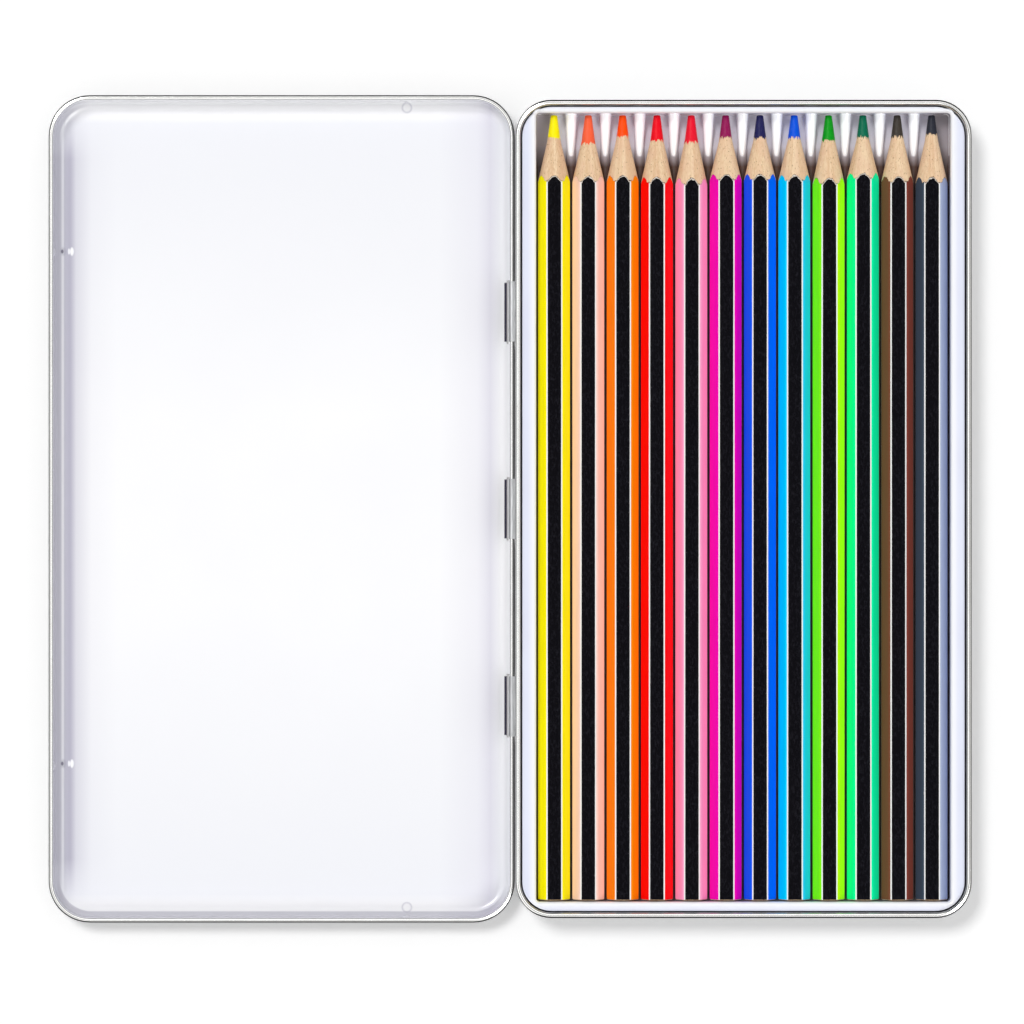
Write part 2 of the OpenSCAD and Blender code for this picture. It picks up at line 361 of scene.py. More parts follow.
@dataclass(frozen=True)
class Tinplate:
    """Bright tin-plated steel sheet, with a fine rolling grain and faint handling marks."""

    name: str = "tinplate"
    colour: RGB = srgb(250, 250, 248)
    dull: RGB = srgb(208, 206, 200)
    # Colour of the painted shade on the roll's flanks, and of its seam line.
    rim_shade_and_seam_colour: RGB = srgb(28, 28, 31)
    panel_light: RGB = srgb(204, 205, 206)
    panel_dark: RGB = srgb(160, 161, 163)
    roll: float = 1.2
    flank: float = 0.64
    inner_share: float = 0.45
    seam: float = 0.0
    seam_off: float = 0.06
    roughness: float = 0.2

    def roll_shade_and_seam(self, pan: RoundedPan) -> Signal:
        """Finds where the rolled rim gets painted shade, on its flanks and most on the outer one, and a dark
        line in its seam.

        Args:
            pan: the pan's outline.

        Returns:
            1 where the metal is darkest.
        """
        _, turned, up = pan.at.graph.split(pan.at.normal)
        off = pan.edge - pan.roll_out
        outer = off > 0.0
        strength = self.flank + abs(turned).ramp(0.1, 0.5) * (outer - self.inner_share) * self.flank
        flank = (up - outer * 0.13).ramp(0.86, 0.74) * strength
        seam = abs(off - self.seam_off).ramp(0.15, 0.07) * pan.side.ramp(-6.0, -1.0) * self.seam
        return flank.most(seam)

    def look(self, pan: RoundedPan) -> tuple[Signal, Signal, Signal]:
        """Bright metal on the rolled rim, brushed and duller metal below it.

        Args:
            pan: the pan's outline.

        Returns:
            Colour, roughness and height.
        """
        at, graph = pan.at, pan.at.graph
        cloud = at.noise((0.12, 0.12, 0.12), detail=3.0).ramp(0.35, 0.7)
        grain = at.noise((6.0, 0.25, 6.0), detail=2.0)
        scuff = at.noise((0.9, 1.4, 0.9), detail=4.0, roughness=0.7).ramp(0.6, 0.75)
        panel = at.z < pan.top - self.roll
        colour = graph.mix(cloud * 0.25 + scuff * 0.12, self.colour, self.dull)
        # Painted shade on the rolled rim's flanks, and a dark line along its seam.
        colour = graph.mix(self.roll_shade_and_seam(pan), colour, self.rim_shade_and_seam_colour)
        brushed = graph.mix(grain.ramp(0.3, 0.7), self.panel_dark, self.panel_light)
        brushed = graph.mix(cloud * 0.3 + scuff * 0.3, brushed, self.panel_dark)
        marks = cloud * 0.06 + grain * 0.06 + scuff * 0.12 + 0.14
        roughness = self.roughness + scuff * 0.04 + panel * marks
        return graph.mix(panel, colour, brushed), roughness, grain * (0.25 + panel * 0.75)

    def material(self, node: str) -> bpy.types.Material:
        """Builds the material.

        Args:
            node: the pan's node.

        Returns:
            The material.
        """
        surface = Surface(self.name)
        colour, roughness, height = self.look(RoundedPan(node, surface.at))
        surface.set(base_color=colour, metallic=1.0, roughness=roughness)
        surface.bump(height, 0.004)
        return surface.material


@dataclass(frozen=True)
class Glint:
    """A small painted highlight or patch of painted shade beside a snap dimple, in millimetres."""

    inset: float
    half_x: float
    half_y: float
    strength: float
    colour: RGB


@dataclass(frozen=True)
class LidFinish:
    """Glossy white lacquer inside the lid, over tinplate that stays bare on the rim and outside."""

    name: str = "lid_lacquer"
    white: RGB = srgb(252, 252, 254)
    warm: RGB = srgb(248, 248, 251)
    # end, side, shade and slot are colours of painted shade.
    end: RGB = srgb(240, 241, 246)
    side: RGB = srgb(222, 220, 231)
    shade: RGB = srgb(184, 182, 197)
    slot: RGB = srgb(36, 30, 56)
    tab_pitch: float = 44.0
    tab_width: float = 13.2
    band: float = 0.62
    snap_inset: float = 1.8
    snap_y: float = 0.3
    snap_radius: float = 1.15
    snap_glints: tuple[Glint, ...] = (
        Glint(1.9, 0.7, 1.0, 0.35, srgb(150, 148, 166)),
        Glint(1.7, 0.3, 0.45, 0.8, srgb(92, 88, 112)),
        Glint(3.2, 0.26, 0.7, 0.85, srgb(252, 252, 254)),
        Glint(3.85, 0.42, 0.95, 1.0, srgb(252, 252, 254)),
    )
    front_snap_y: float = 57.3
    end_snap_x: float = -75.02
    roughness: float = 0.2
    metal: Tinplate = Tinplate()

    def material(self, node: str) -> bpy.types.Material:
        """Builds the material.

        Args:
            node: the pan's node.

        Returns:
            The material.
        """
        surface = Surface(self.name)
        at, graph = surface.at, surface.graph
        pan = RoundedPan(node, at)
        inside = pan.inside()
        bare, bare_roughness, grain = self.metal.look(pan)
        cloud = at.noise((0.03, 0.03, 0.03)).ramp(0.3, 0.7)
        peel = at.noise((1.2, 1.2, 1.2))
        white = graph.mix(cloud * 0.6, self.white, self.warm)
        # Painted shade at the ends, along the hinge, on the front wall and at the hinge windows; painted
        # highlights at the snaps.
        for part in (self.end_shade, self.hinge_shade, self.front_shade, self.painted_window_shade, self.painted_snap_light):
            white = part(pan, white)
        surface.set(
            base_color=graph.mix(inside, bare, white),
            metallic=1.0 - inside,
            roughness=bare_roughness + inside * (self.roughness + peel * 0.08 - bare_roughness),
            coat_weight=inside * 0.25,
            coat_roughness=0.08,
        )
        surface.bump(grain + inside * (peel - grain), 0.005)
        return surface.material

    def end_shade(self, pan: RoundedPan, white: Signal) -> Signal:
        """Paints a little shade on the lacquer towards both ends."""
        depth = pan.end.ramp(-70.0, -6.0) * (1.0 - pan.end.ramp(-5.0, -3.0))
        return pan.at.graph.mix(depth, white, self.end)

    def hinge_shade(self, pan: RoundedPan, white: Signal) -> Signal:
        """Paints shade on the lacquer along the hinge.

        Args:
            pan: the pan's outline.
            white: the colour so far.

        Returns:
            The shaded colour.
        """
        side = pan.side
        depth = side.ramp(-16.0, -4.5) * 0.5 + side.ramp(-7.5, -4.5) * 0.35
        depth = depth * (1.0 - side.ramp(-4.5, -2.2)) * (1.0 - pan.front)
        return pan.at.graph.mix(depth, white, self.side)

    def front_shade(self, pan: RoundedPan, white: Signal) -> Signal:
        """Paints shade on the front wall's bend, lighter along its crease, and in a narrow band round to the
        near end.

        Args:
            pan: the pan's outline.
            white: the colour so far.

        Returns:
            The shaded colour.
        """
        side, end, front = pan.side, pan.end, pan.front
        soft = side.ramp(-4.8, -3.5) * 0.45 + side.ramp(-8.2, -3.8) * 0.4 + side.ramp(-14.0, -5.0) * 0.15
        crease = side.ramp(-2.2, -1.95) * side.ramp(-1.4, -1.65)
        soft = soft * (1.0 - crease * 0.5 - side.ramp(-3.2, -2.0) * 0.25) * end.ramp(-2.0, -13.0) * front
        reach = (front * side.ramp(-8.0, -3.0)).most((pan.at.y < 0.0) * end.ramp(-7.0, -3.0))
        band = pan.edge.ramp(-1.35, -1.1) * reach
        return pan.at.graph.mix(soft.most(band * self.band), white, self.shade)

    def painted_window_shade(self, pan: RoundedPan, white: Signal) -> Signal:
        """Paints shade on the lip of the lacquer at the three hinge windows, a dark line where the slots lie
        in shadow.

        Args:
            pan: the pan's outline.
            white: the colour so far.

        Returns:
            The shaded colour.
        """
        along = pan.at.y
        number = (along / self.tab_pitch).math("ROUND")
        past_tab = abs(along - number * self.tab_pitch) - self.tab_width / 2
        lip = pan.side.ramp(-1.42, -1.32) * past_tab.ramp(0.1, -0.1)
        return pan.at.graph.mix(lip * (abs(number) < 1.5) * (1.0 - pan.front), white, self.slot)

    def painted_snap_light(self, pan: RoundedPan, white: Signal) -> Signal:
        """Paints the snap dimples' light and shade: shaded rings at the ends, highlights and a dark dot in
        front.

        Args:
            pan: the pan's outline.
            white: the colour so far.

        Returns:
            The marked colour.
        """
        at, graph = pan.at, pan.at.graph

        def spot(x: float, y: float, half_x: float, half_y: float) -> Signal:
            """Distance from the nearer of two marks, y to either side of snap_y; 1 on its outline."""
            across = (abs(at.y - self.snap_y) - y) / half_y
            return (((at.x - x) / half_x) ** 2 + across * across) ** 0.5

        front_x, end_y = pan.centre[0] - pan.half[0], pan.half[1] - self.snap_inset
        ring = spot(self.end_snap_x, end_y, self.snap_radius, self.snap_radius)
        # Painted shade in a ring round each end dimple.
        white = graph.mix(ring.ramp(0.6, 0.85) * ring.ramp(1.15, 0.95) * 0.45, white, self.shade)
        # Painted highlights and painted shade beside the front dimples.
        for glint in self.snap_glints:
            off = spot(front_x + glint.inset, self.front_snap_y, glint.half_x, glint.half_y)
            white = graph.mix(off.ramp(1.2, 0.7) * glint.strength, white, glint.colour)
        return white


@dataclass(frozen=True)
class TrayPlastic:
    """Glossy vacuum-formed sheet: cool white, with painted shade low down, painted highlights and dust off
    the points.
    """

    name: str = "tray_plastic"
    white: RGB = srgb(234, 238, 254)
    lilac: RGB = srgb(226, 228, 246)
    # lip is the colour of painted highlights on the recess lip and the rib crests.
    lip: RGB = srgb(250, 251, 255)
    # middle and the brown below it are colours of painted shade low in the recess, the brown like the
    # pencils' wood.
    middle: RGB = srgb(228, 226, 238)
    gap_shade_brown: RGB = srgb(104, 82, 76)
    dust: RGB = srgb(120, 96, 84)
    recess: tuple[float, float] = (46.11, 87.8)
    recess_y: float = 0.35
    pitch: float = 7.656
    rib_tip_y: float = 79.6
    crest_glow: float = 0.22
    roughness: float = 0.14

    def material(self, node: str) -> bpy.types.Material:
        """Builds the material.

        Args:
            node: the tray's node.

        Returns:
            The material.
        """
        surface = Surface(self.name)
        at, graph = surface.at, surface.graph
        wave = at.noise((0.5, 0.2, 0.5), detail=1.0)
        cloud = at.noise((0.08, 0.05, 0.08)).ramp(0.35, 0.7)
        dust = at.noise((2.5, 2.5, 2.5), detail=4.0, roughness=0.7).ramp(0.6, 0.75) * at.z.ramp(4.5, 1.0)
        past_wall, crest = self.past_wall(at), self.painted_crest_highlight(at)
        inside = past_wall.ramp(0.15, -0.1)
        # Painted shade, brown like the pencils' wood, along the gaps and low on the floor.
        drawn = graph.mix(self.painted_gap_shade(at) * inside, self.middle, self.gap_shade_brown)
        top = graph.mix(cloud * 0.7, self.white, self.lilac)
        # Painted shade: darker lower down, white higher up.
        colour = graph.mix(at.z.ramp(2.6, 3.6), drawn, top)
        # Painted highlight along the recess lip.
        colour = graph.mix(past_wall.ramp(1.9, 0.5) * at.z.ramp(6.5, 7.6), colour, self.lip)
        # Painted shade beside the outer pencils, near their points.
        beside = abs(at.x).ramp(41.6, 43.2) * at.y.ramp(70.0, 78.0) * at.z.ramp(6.5, 5.5) * inside
        colour = graph.mix(beside * 0.62, colour, self.gap_shade_brown)
        # Painted highlight on the rib crests.
        colour = graph.mix(crest, colour, self.lip)
        surface.set(
            base_color=graph.mix(dust * 0.3, colour, self.dust),
            roughness=self.roughness + wave * 0.06 + dust * 0.3,
            specular_ior_level=0.6,
            coat_weight=0.4,
            coat_roughness=0.05,
            # Painted glow on the rib crests.
            emission_color=graph.mix(crest, BLACK, (self.crest_glow,) * 3),
            emission_strength=1.0,
        )
        surface.bump(wave, 0.03)
        return surface.material

    def off_gap(self, at: Coordinates) -> Signal:
        """Distance, in millimetres, from the middle of the nearest gap between two pencils."""
        place = at.x / self.pitch
        return abs(place - place.math("ROUND")) * self.pitch

    def painted_gap_shade(self, at: Coordinates) -> Signal:
        """1 where painted shade, brown like the pencils' wood, lies on the floor: along the gaps and up to
        the points.
        """
        clean = at.z.ramp(1.8, 4.0).most(at.y.ramp(76.5, 81.0))
        return (1.0 - clean) * (0.2 + at.y.ramp(56.0, 70.0) * 0.8).most(self.off_gap(at).ramp(1.5, 0.6) * 0.9)

    def painted_crest_highlight(self, at: Coordinates) -> Signal:
        """Finds the tops of the tall ribs, which get a painted highlight and a painted glow.

        Args:
            at: the material's coordinates.

        Returns:
            1 on the crests.
        """
        half = 0.68 + at.y.ramp(77.5, 88.0) * 0.35
        tip = (at.y - self.rib_tip_y).least(0.0)
        off = (self.off_gap(at) ** 2 + tip * tip) ** 0.5
        return (half - off).ramp(-0.25, 0.2) * at.z.ramp(1.2, 1.6) * at.z.ramp(4.1, 3.7)

    def past_wall(self, at: Coordinates) -> Signal:
        """How far a place lies out from the recess's walls, in millimetres: less than 0 is inside."""
        return (abs(at.x) - self.recess[0]).most(abs(at.y - self.recess_y) - self.recess[1])


@dataclass(frozen=True)
class FloorPaper:
    """White seamless paper that keeps the object's shadow; polished surfaces see it painted grey, to darken
    their edges.
    """

    name: str = "floor_paper"
    white: RGB = (0.97, 0.97, 0.97)
    glow: float = 0.262
    grey_in_reflections: RGB = (0.8, 0.8, 0.8)

    def material(self) -> bpy.types.Material:
        """Builds the material.

        Returns:
            The material.
        """
        surface = Surface(self.name)
        seen, gloss = surface.graph.rays(Ray.CAMERA, Ray.GLOSSY)
        surface.set(
            # Painted reflection: polished surfaces see the paper grey.
            base_color=surface.graph.mix(gloss, self.white, self.grey_in_reflections),
            roughness=0.9,
            specular_ior_level=0.0,
            emission_color=surface.graph.mix(seen, BLACK, (self.glow,) * 3),
            emission_strength=1.0,
        )
        return surface.material


# ---------------------------------------------------------------- pencils


@dataclass(frozen=True)
class PencilSize:
    """Sizes of one pencil, in millimetres."""

    length: float = 175.0
    flats: float = 6.6
    edges: float = 7.14
    lead: float = 3.0
    point: float = 1.46
    bare: float = 5.8
    cone: float = 14.8
    glue: float = 0.02

    @property
    def slope(self) -> float:
        """Rise of the sharpened cone's radius for each millimetre along it."""
        return (self.edges - self.lead) / 2 / (self.cone - self.bare)


@dataclass(frozen=True)
class PencilPlace:
    """Where a pencil's axis lies and where its point is, in millimetres."""

    x: float
    z: float
    point_y: float


@dataclass(frozen=True)
class PencilLook:
    """What sets one pencil apart from its neighbours."""

    name: str
    paint: RGB
    lead: RGB
    roll: float = 0.0
    bare: float = 5.8
    cone: float = 14.8
    right: RGB | None = None
    wood: float = 0.5


class PencilFrame:
    """Coordinates of a pencil's own pattern: distance from the point, from the axis and across a face."""

    def __init__(self, at: Coordinates, look: PencilLook, size: PencilSize, place: PencilPlace) -> None:
        """Works out the coordinates.

        Args:
            at: the material's coordinates.
            look: the pencil's own looks.
            size: the pencil's sizes.
            place: its axis and point.
        """
        graph = at.graph
        self.at, self.look = at, look
        self.side, self.up = at.x - place.x, at.z - place.z
        self.along = place.point_y - at.y
        self.at_tail = self.along > size.length - 0.1
        self.radius = (self.side * self.side + self.up * self.up) ** 0.5
        turn = graph.math("ARCTAN2", self.side, self.up) - math.radians(look.roll)
        face = (turn + 6.5 * SIXTH) / SIXTH
        number = face.math("FLOOR")
        self.in_face = (face - number - 0.5) * SIXTH
        self.across = self.radius * self.in_face.math("SINE")
        self.odd = number.math("MODULO", 2.0)
        self.right = turn > 0.0
        self.cone = (self.along - size.bare) * size.slope + size.lead / 2
        self.barrel = (size.flats / 2 / self.in_face.math("COSINE")).least(size.edges / 2)

    def ring_noise(self, cells: float, seed: float, detail: float = 2.0) -> Signal:
        """Noise that changes only around the axis.

        Args:
            cells: cells per unit of the circle of radius 1.
            seed: picks the pattern.
            detail: octaves of the noise.

        Returns:
            The noise's factor, about 0.5 on average.
        """
        reach = self.radius.most(0.01)
        parts = {0: self.side / reach * cells, 1: seed, 2: self.up / reach * cells}
        vector = self.at.graph.node("ShaderNodeCombineXYZ", inputs=parts)
        return self.at.graph.cells(vector.outputs[0], detail, 0.6)

    def is_lead(self) -> Signal:
        """Tells the lead from the wood.

        Returns:
            1 on the lead and 0 past its ragged end on the cone.
        """
        seed = self.look.bare * 7.0 + self.look.roll
        waver = (self.ring_noise(1.3, seed) - 0.5) * 1.2
        teeth = abs(self.ring_noise(3.2, seed + 3.0, detail=3.0) - 0.5) * 4.4
        return (self.look.bare + waver + teeth - 0.5 - self.along).ramp(-0.05, 0.05)


@dataclass(frozen=True)
class Wood:
    """Freshly cut cedar with fine grain, a few dark flecks, and faint painted shade in bands like a cutter's
    facets.
    """

    pale: RGB = srgb(243, 217, 181)
    tan: RGB = srgb(206, 160, 116)
    pink: RGB = srgb(230, 184, 156)
    fleck_colour: RGB = srgb(128, 84, 58)

    def look(self, here: PencilFrame) -> tuple[Signal, Signal]:
        """Works out the wood's finish.

        Args:
            here: the pencil's coordinates.

        Returns:
            Colour and height.
        """
        at, graph = here.at, here.at.graph
        grain = at.noise((4.2, 0.4, 4.2), detail=3.0, roughness=0.6)
        broad = at.noise((0.7, 0.12, 0.7), detail=2.0)
        facet_shade = here.ring_noise(2.6, here.look.cone * 5.0)
        fleck = at.noise((3.8, 2.0, 3.8), detail=2.0).ramp(0.65, 0.7)
        colour = graph.mix(grain.ramp(0.35, 0.68) * (here.look.wood * 0.95), self.pale, self.tan)
        colour = graph.mix(broad.ramp(0.4, 0.7) * 0.4, colour, self.pink)
        # Painted shade in bands round the cone, as on a sharpener's facets.
        colour = graph.mix(facet_shade.ramp(0.45, 0.65) * 0.35, colour, self.tan)
        return graph.mix(fleck * 0.65, colour, self.fleck_colour), grain


@dataclass(frozen=True)
class LeadWax:
    """Waxy pigment lead with fine sharpening lines, feathered into the wood where it ends."""

    look: PencilLook
    size: PencilSize
    place: PencilPlace

    def colour(self, here: PencilFrame) -> tuple[Signal, Signal]:
        """Works out the wax's finish.

        Args:
            here: the pencil's coordinates.

        Returns:
            Colour and height.
        """
        streak = here.at.noise((5.0, 0.8, 5.0), detail=3.0, roughness=0.6)
        crumb = here.at.noise((6.0, 6.0, 6.0), detail=3.0)
        pale = tuple(0.88 * channel + 0.12 for channel in self.look.lead)
        colour = here.at.graph.mix(streak.ramp(0.5, 0.85) * 0.3, self.look.lead, pale)
        return here.at.graph.mix(crumb.ramp(0.55, 0.8) * 0.25, colour, shade(self.look.lead, 0.55)), streak

    def material(self) -> bpy.types.Material:
        """Builds the material.

        Returns:
            The material.
        """
        surface = Surface(f"lead_{self.look.name}")
        here = PencilFrame(surface.at, self.look, self.size, self.place)
        wood, grain = Wood().look(here)
        wax, streak = self.colour(here)
        lead = here.is_lead().most(here.at_tail)
        colour = surface.graph.mix(lead, wood, wax)
        surface.set(base_color=colour, roughness=0.62 - lead * 0.22, specular_ior_level=0.12)
        surface.bump(lead * 0.4 + grain * 0.3 + streak * 0.2, 0.05)
        return surface.material


@dataclass(frozen=True)
class PencilCasing:
    """Gloss paint in the pencil's colour, every second face black between white lines, over bare wood."""

    look: PencilLook
    size: PencilSize
    place: PencilPlace
    black: RGB = srgb(3, 2, 7)
    dusty: RGB = srgb(34, 33, 40)
    line: RGB = srgb(244, 243, 241)
    primer: RGB = srgb(232, 222, 210)
    rim: RGB = srgb(70, 56, 50)
    black_half: float = 1.5
    line_width: float = 0.3
    # The next two set painted light: coloured paint keeps this share of its colour and glows with the rest.
    base_share_beside_glow: float = 0.88
    paint_glow: float = 0.15

    def material(self) -> bpy.types.Material:
        """Builds the material.

        Returns:
            The material.
        """
        surface = Surface(f"paint_{self.look.name}")
        at, graph = surface.at, surface.graph
        here = PencilFrame(at, self.look, self.size, self.place)
        black, line = self.masks(here)
        depth = self.depth(here)
        painted = depth.ramp(0.072, 0.09).most(depth.ramp(0.02, 0.035) * (1.0 - line))
        wood, grain = Wood().look(here)
        wax, _ = LeadWax(self.look, self.size, self.place).colour(here)
        colour = graph.mix(here.is_lead(), wood, wax)
        colour = graph.mix(depth.ramp(0.0, 0.012), colour, self.first_coat(graph, line))
        colour = graph.mix(depth.ramp(0.03, 0.042) * line, colour, self.primer)
        colour = graph.mix(painted, colour, self.stripes(here, black, line))
        colour = graph.mix(self.wear(here) * painted, colour, self.primer)
        # Painted light: the coloured paint glows a little, and its own colour is lowered to make up, so its
        # stripes show less shade.
        glowing_paint = painted * (1.0 - line)
        surface.set(
            base_color=graph.mix(glowing_paint, colour, graph.mix(1.0, colour, (self.base_share_beside_glow,) * 3, Blend.TINT)),
            roughness=0.62 - painted * 0.38,
            specular_ior_level=0.1,
            emission_color=graph.mix(glowing_paint, BLACK, shade(self.look.paint, self.paint_glow)),
            emission_strength=1.0,
        )
        surface.bump(painted * 0.7 + grain * (1.0 - painted) * 0.3, 0.12)
        return surface.material

    def depth(self, here: PencilFrame) -> Signal:
        """How far the paint lies inside the cone, with the blade's ragged bite; the tail is cut bare."""
        rough = here.at.noise((1.9, 1.5, 1.9), detail=3.0, roughness=0.75) - 0.5
        return (here.cone - here.barrel) * (1.0 - here.at_tail * 2.0) + rough * 0.24

    def masks(self, here: PencilFrame) -> tuple[Signal, Signal]:
        """Finds the stripes on every second face.

        Args:
            here: the pencil's coordinates.

        Returns:
            1 on the black stripe, and 1 on it or its white lines.
        """
        off = abs(here.across) + (here.at.noise((0.5, 0.04, 0.5)) - 0.5) * 0.08
        even = 1.0 - here.odd
        halves = (self.black_half, self.black_half + self.line_width)
        return tuple((half - off).ramp(-0.02, 0.02) * even for half in halves)

    def first_coat(self, graph: Graph, line: Signal) -> Signal:
        """The thin dark rim that the black leaves at its cut edge, and a darker tint at the coloured ones."""
        return graph.mix(line, shade(self.look.paint, 0.6), self.rim)

    def wear(self, here: PencilFrame) -> Signal:
        """Small chips along the barrel's edges."""
        edge = abs(here.in_face).ramp(0.485, 0.52)
        return edge * here.at.noise((1.5, 0.5, 1.5), detail=3.0, roughness=0.7).ramp(0.64, 0.7) * 0.5

    def stripes(self, here: PencilFrame, black: Signal, line: Signal) -> Signal:
        """Paints stripes of black and of the pencil's colour, with white lines between.

        Args:
            here: the pencil's coordinates.
            black: 1 on the black stripe.
            line: 1 on the black stripe or its white lines.

        Returns:
            The painted colour.
        """
        at, graph = here.at, here.at.graph
        mottle = at.noise((0.8, 0.1, 0.8), detail=3.0).ramp(0.35, 0.75)
        tint = graph.mix(here.right, self.look.paint, self.look.right or self.look.paint)
        tint = graph.mix(mottle * 0.22, tint, graph.mix(1.0, tint, (0.62,) * 3, Blend.TINT))
        dust = at.noise((2.4, 1.1, 2.4), detail=4.0, roughness=0.75).ramp(0.5, 0.75)
        dark = graph.mix(dust * 0.8, self.black, self.dusty)
        return graph.mix(black, graph.mix(line, tint, self.line), dark)


def smooth_piece(mesh: bpy.types.Mesh, sharp: float) -> bpy.types.Object:
    """Shades a mesh smooth and puts it in the scene.

    Args:
        mesh: the finished mesh.
        sharp: edges of more than this many degrees stay sharp.

    Returns:
        Its object, with the mesh's name.
    """
    mesh.shade_smooth()
    mesh.set_sharp_from_angle(angle=math.radians(sharp))
    piece = bpy.data.objects.new(mesh.name, mesh)
    bpy.context.scene.collection.objects.link(piece)
    return piece


@dataclass
class BarrelTree:
    """Geometry Nodes for a sharpened hexagonal casing: one sheet that runs along the outside, over the
    tail and back through the bore, closed on itself."""

    SIZES: ClassVar[tuple[str, ...]] = (
        "Length", "Flats", "Edges", "Lead", "Bare", "Cone", "Glue", "Roll", "Axis X", "Axis Z", "Point Y",
    )
    around: int = 120
    along_cone: int = 84
    along_barrel: int = 6
    past_cone: float = 1.0 * MM
    edge_round: float = 0.12 * MM
    cut_round: float = 0.06 * MM
    tail_round: float = 0.2 * MM
    weld: float = 0.0001 * MM

    def __post_init__(self) -> None:
        """Builds the tree with its named inputs."""
        self.tree = bpy.data.node_groups.new("sharpened_barrel", "GeometryNodeTree")
        for name in self.SIZES:
            self.tree.interface.new_socket(name, in_out="INPUT", socket_type="NodeSocketFloat")
        self.tree.interface.new_socket("Finish", in_out="INPUT", socket_type="NodeSocketMaterial")
        self.tree.interface.new_socket("Geometry", in_out="OUTPUT", socket_type="NodeSocketGeometry")
        self.graph = Graph(self.tree)
        self.entry = self.graph.node("NodeGroupInput")
        size = {name: self.graph.output(self.entry, name) for name in self.SIZES}
        outside = self.sheet(size, self.along_cone + self.along_barrel, self.outside_profile)
        inside = self.sheet(size, 3, self.inside_profile)
        joined = self.graph.node("GeometryNodeJoinGeometry")
        for part in (outside, inside):
            self.tree.links.new(part, joined.inputs[0])
        merged = self.graph.node(
            "GeometryNodeMergeByDistance", inputs={"Geometry": joined.outputs[0], "Distance": self.weld}
        )
        whole = self.graph.node("GeometryNodeRealizeInstances", inputs={0: merged.outputs[0]})
        dressed = self.graph.node(
            "GeometryNodeSetMaterial",
            inputs={"Geometry": whole.outputs[0], "Material": self.entry.outputs["Finish"]},
        )
        self.graph.node("NodeGroupOutput", inputs={0: dressed.outputs[0]})

    def sheet(
        self, size: Mapping[str, Signal], steps: int, profile: Callable[..., tuple[Signal, Signal]]
    ) -> bpy.types.NodeSocket:
        """A tube whose points are set by a profile.

        Args:
            size: the tree's sizes.
            steps: rings along the tube.
            profile: gives distance from the point and radius, from the size, the step and the angle.

        Returns:
            The geometry socket of the shaped tube.
        """
        graph = self.graph
        tube = graph.node(
            "GeometryNodeMeshCylinder",
            {"fill_type": "NONE"},
            {"Vertices": self.around, "Side Segments": steps, "Radius": 1.0, "Depth": float(steps)},
        )
        flat_x, flat_y, height = graph.split(graph.node("GeometryNodeInputPosition").outputs[0])
        step = (height + steps / 2).math("ROUND")
        angle = graph.math("ARCTAN2", flat_x, flat_y)
        along, radius = profile(size, step, angle)
        place = graph.node(
            "ShaderNodeCombineXYZ",
            inputs={
                0: radius * angle.math("SINE") + size["Axis X"],
                1: size["Point Y"] - along,
                2: radius * angle.math("COSINE") + size["Axis Z"],
            },
        )
        moved = graph.node(
            "GeometryNodeSetPosition", inputs={"Geometry": tube.outputs["Mesh"], "Position": place.outputs[0]}
        )
        return moved.outputs[0]

    def barrel_radius(self, size: Mapping[str, Signal], angle: Signal) -> Signal:
        """Radius of the unsharpened barrel: flat faces with rounded edges.

        Args:
            size: the tree's sizes.
            angle: angle round the axis.

        Returns:
            The radius.
        """
        turned = (angle - size["Roll"] + 6.5 * SIXTH) / SIXTH
        off = (turned - turned.math("FLOOR") - 0.5) * SIXTH
        flat = size["Flats"] / 2 / off.math("COSINE")
        return flat.math("SMOOTH_MIN", size["Edges"] / 2, self.edge_round)

    def outside_profile(
        self, size: Mapping[str, Signal], step: Signal, angle: Signal
    ) -> tuple[Signal, Signal]:
        """Cone, then barrel, up to the rounded tail.

        Args:
            size: the tree's sizes.
            step: number of the ring.
            angle: angle round the axis.

        Returns:
            Distance from the point, and radius.
        """
        reach = size["Cone"] + self.past_cone
        first = step / self.along_cone
        later = (step - self.along_cone) / (self.along_barrel - 1)
        along = size["Bare"] + (reach - size["Bare"]) * first.least(1.0)
        along = along + (size["Length"] - self.tail_round - reach) * (later.most(0.0).least(1.0) ** 0.35)
        along = along + (later > 1.1) * self.tail_round
        slope = (size["Edges"] - size["Lead"]) / 2 / (size["Cone"] - size["Bare"])
        cone = size["Lead"] / 2 + (along - size["Bare"]) * slope
        tail = (size["Length"] - along - self.tail_round).least(0.0) * 0.8
        return along, self.barrel_radius(size, angle).math("SMOOTH_MIN", cone, self.cut_round) + tail

    def inside_profile(
        self, size: Mapping[str, Signal], step: Signal, angle: Signal
    ) -> tuple[Signal, Signal]:
        """Across the tail, back through the bore and out at the bare lead.

        Args:
            size: the tree's sizes.
            step: number of the ring.
            angle: angle round the axis.

        Returns:
            Distance from the point, and radius.
        """
        at_bore = (step > 0.5) * (step < 2.5)
        at_tail = step < 1.5
        at_rim = step < 0.5
        along = size["Bare"] + (size["Length"] - size["Bare"]) * at_tail
        bore = size["Lead"] / 2 + size["Glue"]
        tail_radius = self.barrel_radius(size, angle) - self.tail_round * 0.8
        front_radius = self.barrel_radius(size, angle).math("SMOOTH_MIN", size["Lead"] / 2, self.cut_round)
        radius = bore * at_bore + tail_radius * at_rim + front_radius * (step > 2.5)
        return along, radius

